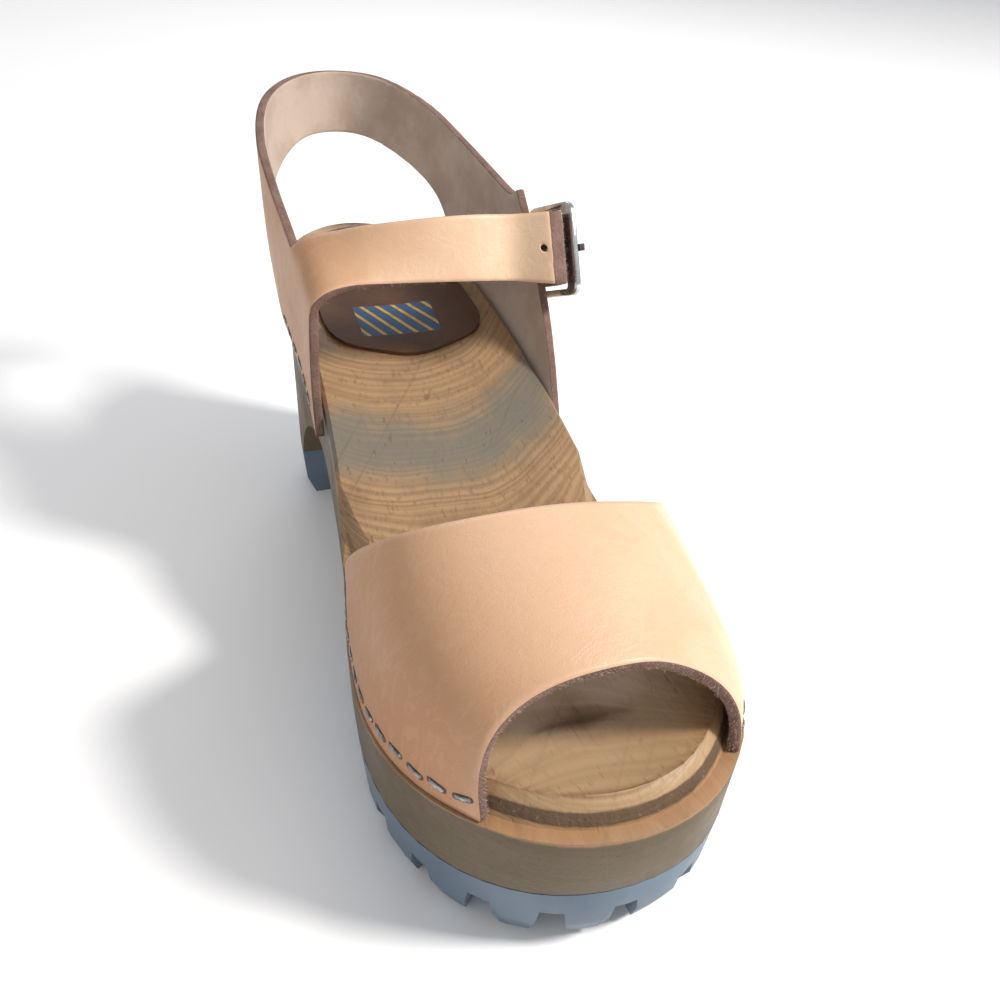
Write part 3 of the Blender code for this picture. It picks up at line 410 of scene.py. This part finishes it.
def leather_from(node_name, name, outward, smoothness):
    """Leather piece with its grain, flesh and cut faces told apart, creased at its cut edges."""
    thing = piece_from(node_name, name, GRAIN)
    mesh = thing.data
    mesh.materials.append(FLESH)
    mesh.materials.append(CUT)
    work = bmesh.new()
    work.from_mesh(mesh)
    bend = math.radians(40)
    crease = work.edges.layers.float.new("crease_edge")
    sharp = set()
    for edge in work.edges:
        if len(edge.link_faces) == 2 and edge.calc_face_angle() > bend:
            edge[crease] = 0.8
            sharp.add(edge)
    left = set(work.faces)
    islands = []
    while left:
        seed = left.pop()
        island = [seed]
        queue = [seed]
        while queue:
            face = queue.pop()
            for edge in face.edges:
                if edge in sharp:
                    continue
                for other in edge.link_faces:
                    if other in left:
                        left.remove(other)
                        island.append(other)
                        queue.append(other)
        islands.append(island)
    islands.sort(key=lambda island: -sum(face.calc_area() for face in island))
    for number, island in enumerate(islands):
        if number < 2:
            facing = 0.0
            for face in island:
                facing += face.normal.dot(outward(face.calc_center_median())) * face.calc_area()
            index = 0 if facing > 0 else 1
        else:
            index = 2
        for face in island:
            face.material_index = index
    work.to_mesh(mesh)
    # distance from the nearest cut edge
    ring = [vertex.co.copy() for edge in sharp for vertex in edge.verts]
    ring += [(edge.verts[0].co + edge.verts[1].co) / 2 for edge in sharp]
    tree = KDTree(len(ring))
    for number, spot in enumerate(ring):
        tree.insert(spot, number)
    tree.balance()
    keep_value(thing, "rim", [tree.find(vertex.co)[2] for vertex in mesh.vertices])
    work.free()
    soft = thing.modifiers.new("smooth form", "SUBSURF")
    soft.levels = smoothness
    soft.render_levels = smoothness
    return thing


def from_last(place):
    """Away from the middle of the toes."""
    return Vector((place.x, 0, place.z - 45 * MM)).normalized()


FUZZ, tree, shader = new_material("leather_fuzz", 0.9)
shader.inputs["Base Color"].default_value = (0.40, 0.28, 0.22, 1)


def fuzz_on(thing, name, count, wanted, chance):
    """Loose fibres that stand out of a leather's cut edge, where wanted says so."""
    depsgraph = bpy.context.evaluated_depsgraph_get()
    body = thing.evaluated_get(depsgraph)
    mesh = body.to_mesh()
    spots = []
    for face in mesh.polygons:
        if face.material_index == 2 and wanted(face.center):
            corners = [mesh.vertices[i].co.copy() for i in face.vertices]
            spots.append((corners, face.normal.copy(), face.area))
    body.to_mesh_clear()
    work = bmesh.new()
    weights = [area for corners, normal, area in spots]
    for corners, normal, area in chance.choices(spots, weights, k=count):
        root = corners[0].lerp(corners[1], chance.random())
        root = root.lerp(corners[2].lerp(corners[-1], chance.random()), chance.random())
        drift = Vector([chance.uniform(-1, 1) for axis in range(3)])
        lean = (normal + drift * 0.7).normalized()
        aside = lean.orthogonal().normalized() * (0.045 * MM)
        length = chance.uniform(0.3, 1.0) * MM
        bend = root + lean * (length * 0.55)
        tip = bend + (lean + drift * 0.8).normalized() * (length * 0.5)
        root = root - normal * (0.1 * MM)
        points = (root - aside, root + aside, bend + aside * 0.7, bend - aside * 0.7, tip)
        a, b, c, d, e = [work.verts.new(point) for point in points]
        work.faces.new((a, b, c, d))
        work.faces.new((d, c, e))
    fibres = bpy.data.meshes.new(name)
    work.to_mesh(fibres)
    work.free()
    fibres.materials.append(FUZZ)
    hairs = bpy.data.objects.new(name, fibres)
    bpy.context.collection.objects.link(hairs)
    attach(hairs, "root")


vamp = leather_from("vamp", "vamp_leather", from_last, 2)
low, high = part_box("vamp")
# painted shade: a share that grows towards the medial side and the bottom of the vamp, kept as the tan
# attribute
medial_shade = []
for vertex in vamp.data.vertices:
    medial = (high[0] - vertex.co.x) / (high[0] - low[0])
    down = (high[2] - vertex.co.z) / (high[2] - low[2])
    medial_shade.append(min(1.0, 0.75 * medial ** 1.5 + 0.4 * down * medial))
keep_value(vamp, "tan", medial_shade)
opening = low[1] + 0.3 * (high[1] - low[1])
toe_fibres = 2600
fuzz_on(vamp, "toe_opening_fuzz", toe_fibres, lambda spot: spot.y < opening, random.Random(3))


# Staples: flat steel wire driven through the leather's foot into the wood, one beside the other all
# round. Each has pressed a slot in the leather, whose shade is painted as a dark oval of leather colour.

steel, tree, shader = new_material("staple_steel", 0.3, 1.0)
position = put(tree, "ShaderNodeTexCoord").outputs["Object"]
stain = noise(tree, position, 500.0, 3.0)
tree.links.new(
    blend_colour(tree, step_between(tree, stain, 0.4, 0.65), (0.36, 0.40, 0.44), (0.16, 0.15, 0.14)),
    shader.inputs["Base Color"],
)
tree.links.new(step_between(tree, stain, 0.4, 0.65, 0.25, 0.55), shader.inputs["Roughness"])

# painted shade: the dark leather colour of each slot stands in for the shade inside the pressed dent
slot_shade_leather, tree, shader = new_material("staple_slot_painted_shade", 0.7)
fibres = place_group(tree, RAW_FIBRES, {"Fineness": 1200.0})
slot_shade_colour = blend_colour(tree, fibres.outputs["Specks"], (0.130, 0.070, 0.042), (0.300, 0.170, 0.105))
tree.links.new(slot_shade_colour, shader.inputs["Base Color"])
bump_into(tree, shader, fibres.outputs["Height"], 0.1 * MM)

STAPLE_LENGTH = 4.6 * MM
STAPLE_WIDTH = 1.0 * MM
STAPLE_PITCH = 6.8 * MM


def surface_of(thing):
    depsgraph = bpy.context.evaluated_depsgraph_get()
    body = thing.evaluated_get(depsgraph)
    mesh = body.to_mesh()
    tree = BVHTree.FromPolygons([v.co for v in mesh.vertices], [p.vertices for p in mesh.polygons])
    body.to_mesh_clear()
    return tree


def add_staple(wires, slots, place, along, out, chance):
    """Crown of a staple with its bent shoulders, and a dark oval round it that paints the shade of the
    pressed slot.
    """
    along = (along - out * along.dot(out)).normalized()
    along = (Matrix.Rotation(chance.uniform(-0.16, 0.16), 3, out) @ along).normalized()
    up = out.cross(along).normalized()
    half = STAPLE_LENGTH / 2
    section = ((-0.5, 0.0), (-0.32, 0.5), (0.32, 0.5), (0.5, 0.0), (0.32, -0.5), (-0.32, -0.5))
    stations = ((-half, -0.55), (-half + 0.12 * MM, -0.1), (-half + 0.5 * MM, 0.14), (0.0, 0.22))
    stations += ((half - 0.5 * MM, 0.14), (half - 0.12 * MM, -0.1), (half, -0.55))
    rings = []
    for reach, lift in stations:
        centre = place + along * reach + out * (lift * MM)
        ring = []
        for side, rise in section:
            spot = centre + up * (side * STAPLE_WIDTH) + out * (rise * 0.55 * MM)
            ring.append(wires.verts.new(spot))
        rings.append(ring)
    for near, far in zip(rings[:-1], rings[1:]):
        for k in range(6):
            n = (k + 1) % 6
            wires.faces.new((near[k], near[n], far[n], far[k]))
    wires.faces.new(rings[0][::-1])
    wires.faces.new(rings[-1])
    # slot: a pressed oval whose lip stands a little proud, coloured dark as painted shade
    steps = 20
    loops = []
    for size, lift in ((1.32, 0.00), (1.18, 0.16), (1.02, 0.05)):
        loop = []
        for k in range(steps):
            angle = 2 * math.pi * k / steps
            reach = math.copysign(abs(math.cos(angle)) ** 0.45, math.cos(angle)) * (half + 0.25 * MM)
            side = math.copysign(abs(math.sin(angle)) ** 0.7, math.sin(angle)) * STAPLE_WIDTH * 0.72
            reach *= 1 + (size - 1) * 0.4
            side *= size * chance.uniform(0.94, 1.06)
            spot = place + along * reach + up * side + out * ((lift - 0.02) * MM)
            loop.append(slots.verts.new(spot))
        loops.append(loop)
    for near, far in zip(loops[:-1], loops[1:]):
        for k in range(steps):
            n = (k + 1) % steps
            slots.faces.new((near[k], near[n], far[n], far[k]))
    slots.faces.new(loops[-1])


def finish_mesh(work, name, material):
    mesh = bpy.data.meshes.new(name)
    bmesh.ops.recalc_face_normals(work, faces=work.faces)
    for face in work.faces:
        face.smooth = True
    work.to_mesh(mesh)
    work.free()
    mesh.set_sharp_from_angle(angle=math.radians(50))
    mesh.materials.append(material)
    thing = bpy.data.objects.new(name, mesh)
    bpy.context.collection.objects.link(thing)
    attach(thing, "root")
    return thing


def row_of_staples(leather, name, side, start, stop, edge_height, lift):
    """Staples along one side of a leather's foot, from y start to y stop."""
    chance = random.Random(7 if side < 0 else 11)
    tree = surface_of(leather)
    path = []
    for y in np.arange(start, stop, 1 * MM):
        z = edge_height(y) + lift
        hit = tree.ray_cast(Vector((side * 90 * MM, y, z)), Vector((-side, 0, 0)))
        if hit[0] is not None:
            path.append((hit[0], hit[1]))
    wires = bmesh.new()
    slots = bmesh.new()
    run = STAPLE_PITCH / 2
    for number in range(1, len(path) - 1):
        run += (path[number][0] - path[number - 1][0]).length
        if run < STAPLE_PITCH:
            continue
        run = 0.0
        place, out = path[number]
        if out.x * side < 0:
            out = -out
        along = path[number + 1][0] - path[number - 1][0]
        add_staple(wires, slots, place, along, out, chance)
    finish_mesh(wires, name + "_wire", steel)
    finish_mesh(slots, name + "_slot_shade", slot_shade_leather)


places = np.array([v.co for v in nodes["vamp"].data.vertices])


def vamp_foot(y):
    near = np.abs(places[:, 1] - y) < 6 * MM
    return float(places[near, 2].min())


first_staple = -119 * MM
last_staple = -34 * MM
above_foot = 4.6 * MM
for side, label in ((-1, "medial"), (1, "lateral")):
    name = "vamp_staples_" + label
    row_of_staples(vamp, name, side, first_staple, last_staple, vamp_foot, above_foot)


# The ankle piece: medial quarter, heel strap, lateral quarter and instep strap cut as one branched
# piece of the same leather, tacked on the wood's sides and closed with a buckle on the outer side.

def from_ankle(place):
    """Away from the middle of the ankle."""
    return (place - Vector((0, 54 * MM, 97 * MM))).normalized()


ankle = leather_from("ankle_piece", "ankle_leather", from_ankle, 2)
low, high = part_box("ankle_piece")
# painted shade: a share that grows towards the medial side of the ankle piece, kept as the tan attribute
medial_shade = []
for vertex in ankle.data.vertices:
    medial = (high[0] - vertex.co.x) / (high[0] - low[0])
    medial_shade.append(min(1.0, 0.9 * medial ** 2.5))
keep_value(ankle, "tan", medial_shade)
strap_fibres = 2200
behind_buckle = 60 * MM
fuzz_on(
    ankle, "strap_edge_fuzz", strap_fibres, lambda spot: spot.y < behind_buckle, random.Random(5)
)


def quarter_foot(side, start, stop):
    """Height of the quarter's lower edge along one side of the shoe, as a smooth curve."""
    spots = np.array([v.co for v in nodes["ankle_piece"].data.vertices])
    spots = spots[spots[:, 0] * side > 15 * MM]
    stations = np.linspace(start, stop, 9)
    lowest = []
    for y in stations:
        near = np.abs(spots[:, 1] - y) < 5 * MM
        lowest.append(spots[near, 2].min())
    return np.poly1d(np.polyfit(stations, lowest, 2))


first_staple = 22 * MM
last_staple = 66 * MM
above_foot = 4.5 * MM
for side, label in ((-1, "medial"), (1, "lateral")):
    name = "quarter_staples_" + label
    foot = quarter_foot(side, first_staple, last_staple)
    row_of_staples(ankle, name, side, first_staple, last_staple, foot, above_foot)


# The heel pad: thin smooth brown leather glued on the heel seat, with a small plain tab of slanting
# stripes printed near its front edge.

pad_leather, tree, shader = new_material("brown_leather_pad", 0.5)
hide = place_group(tree, HIDE_GRAIN, {"Pore size": 0.45 * MM})
brown = blend_colour(
    tree, step_between(tree, hide.outputs["Clouds"], 0.35, 0.65), (0.046, 0.016, 0.005), (0.078, 0.030, 0.010)
)
position = put(tree, "ShaderNodeTexCoord").outputs["Object"]
parts = put(tree, "ShaderNodeSeparateXYZ", {0: position})
tab_x = -3 * MM
tab_y = 50 * MM
tab_half_x = 13 * MM
tab_half_y = 7 * MM
from_x = calc(tree, "ABSOLUTE", calc(tree, "SUBTRACT", parts.outputs[0], tab_x))
from_y = calc(tree, "ABSOLUTE", calc(tree, "SUBTRACT", parts.outputs[1], tab_y))
in_x = calc(tree, "LESS_THAN", from_x, tab_half_x)
in_y = calc(tree, "LESS_THAN", from_y, tab_half_y)
tab = calc(tree, "MULTIPLY", in_x, in_y)
slant = calc(tree, "ADD", parts.outputs[0], calc(tree, "MULTIPLY", parts.outputs[1], 0.7))
stripe = calc(tree, "FRACT", calc(tree, "DIVIDE", slant, 5.2 * MM))
stripe = calc(tree, "LESS_THAN", stripe, 0.26)
printed = blend_colour(tree, stripe, (0.020, 0.075, 0.170), (0.50, 0.32, 0.05))
worn = step_between(tree, hide.outputs["Creases"], 0.0, 0.4, 0.65, 0.95)
brown = blend_colour(tree, calc(tree, "MULTIPLY", tab, worn), brown, printed)
tree.links.new(brown, shader.inputs["Base Color"])
shader.inputs["Specular IOR Level"].default_value = 0.3
bump_into(tree, shader, hide.outputs["Height"], 0.06 * MM, 0.5)
pad = piece_from("heel_pad", "heel_pad_leather", pad_leather)
round_edges(pad, 0.3 * MM)


# The buckle: a cast frame with a wide front bar, nickel plated, and a prong of the same metal hooked
# round its rear bar. A rivet holds the folded leather that carries it.

nickel, tree, shader = new_material("nickel_plate", 0.2, 1.0)
position = put(tree, "ShaderNodeTexCoord").outputs["Object"]
haze = noise(tree, position, 160.0, 4.0, 0.6)
hairlines = noise(tree, stretched(tree, position, (300.0, 5000.0, 900.0)), 1.0, 2.0)
tree.links.new(
    blend_colour(tree, step_between(tree, haze, 0.35, 0.7), (0.60, 0.62, 0.62), (0.36, 0.36, 0.35)),
    shader.inputs["Base Color"],
)
rough = step_between(tree, haze, 0.3, 0.7, 0.12, 0.30)
rough = calc(tree, "ADD", rough, calc(tree, "MULTIPLY", hairlines, 0.1))
tree.links.new(rough, shader.inputs["Roughness"])
bump_into(tree, shader, hairlines, 0.02 * MM, 0.3)
for node_name in ("buckle_frame", "buckle_prong", "chape_rivet"):
    metal = piece_from(node_name, node_name + "_nickel", nickel)
    round_edges(metal, 0.3 * MM, 25.0, 3)


# The chape and the keeper: thin strips of the same leather, one folded round the buckle's rear bar
# and riveted on the quarter, the other a loop that holds the strap's end down.

for node_name in ("buckle_chape", "strap_keeper"):
    strip = piece_from(node_name, node_name + "_leather", GRAIN)
    keep_value(strip, "tan", [0.25] * len(strip.data.vertices))
    keep_value(strip, "rim", [1.2 * MM] * len(strip.data.vertices))
    round_edges(strip, 0.25 * MM)


# The photographer's table: a pale sheet, a soft lamp from the right and front, large weak ones from
# the left and behind, and a camera above the toes, a hand's breadth to the medial side.

floor_material, tree, shader = new_material("pale_floor", 0.8)
position = put(tree, "ShaderNodeTexCoord").outputs["Object"]
paper = noise(tree, position, 3.0, 2.0)
tree.links.new(
    blend_colour(tree, paper, (0.86, 0.86, 0.86), (0.90, 0.90, 0.90)), shader.inputs["Base Color"]
)
mesh = bpy.data.meshes.new("floor")
half = 6.0
mesh.from_pydata([(-half, -half, 0), (half, -half, 0), (half, half, 0), (-half, half, 0)], [], [(0, 1, 2, 3)])
mesh.materials.append(floor_material)
floor = bpy.data.objects.new("floor", mesh)
bpy.context.collection.objects.link(floor)


def soft_lamp(name, place, aim, size, power, colour):
    light = bpy.data.lights.new(name, "AREA")
    light.shape = "DISK"
    light.size = size
    light.energy = power
    light.color = colour
    lamp = bpy.data.objects.new(name, light)
    lamp.location = place
    lamp.rotation_euler = (Vector(aim) - Vector(place)).to_track_quat("-Z", "Y").to_euler()
    bpy.context.collection.objects.link(lamp)


middle = (0.0, -0.02, 0.06)
soft_lamp("key", (0.85, -0.55, 0.95), middle, 0.30, 24.0, (1.0, 0.97, 0.93))
soft_lamp("fill", (-1.0, -0.8, 1.1), middle, 1.2, 3.0, (0.96, 0.98, 1.0))
soft_lamp("back", (0.3, 1.2, 1.1), middle, 0.9, 6.0, (1.0, 1.0, 1.0))
world = bpy.data.worlds.new("studio")
world.use_nodes = True
world.node_tree.nodes["Background"].inputs["Color"].default_value = (0.96, 0.97, 1.0, 1)
world.node_tree.nodes["Background"].inputs["Strength"].default_value = 0.56
bpy.context.scene.world = world
bpy.context.scene.view_settings.view_transform = "Standard"

camera_data = bpy.data.cameras.new("camera")
camera_data.lens = 37.04
camera_data.sensor_width = 36.0
camera_data.clip_start = 0.01
camera = bpy.data.objects.new("camera", camera_data)
bpy.context.collection.objects.link(camera)
yaw = math.radians(23.36)
pitch = math.radians(33.66)
roll = math.radians(4.04)
forward = Vector((math.sin(yaw) * math.cos(pitch), math.cos(yaw) * math.cos(pitch), -math.sin(pitch)))
level = Vector((math.cos(yaw), -math.sin(yaw), 0))
upright = level.cross(forward)
right = level * math.cos(roll) + upright * math.sin(roll)
upward = upright * math.cos(roll) - level * math.sin(roll)
turned = Matrix((right, upward, -forward)).transposed().to_4x4()
eye = (-0.0915, -0.2500, 0.2159)
camera.matrix_world = Matrix.Translation(eye) @ turned
bpy.context.scene.camera = camera
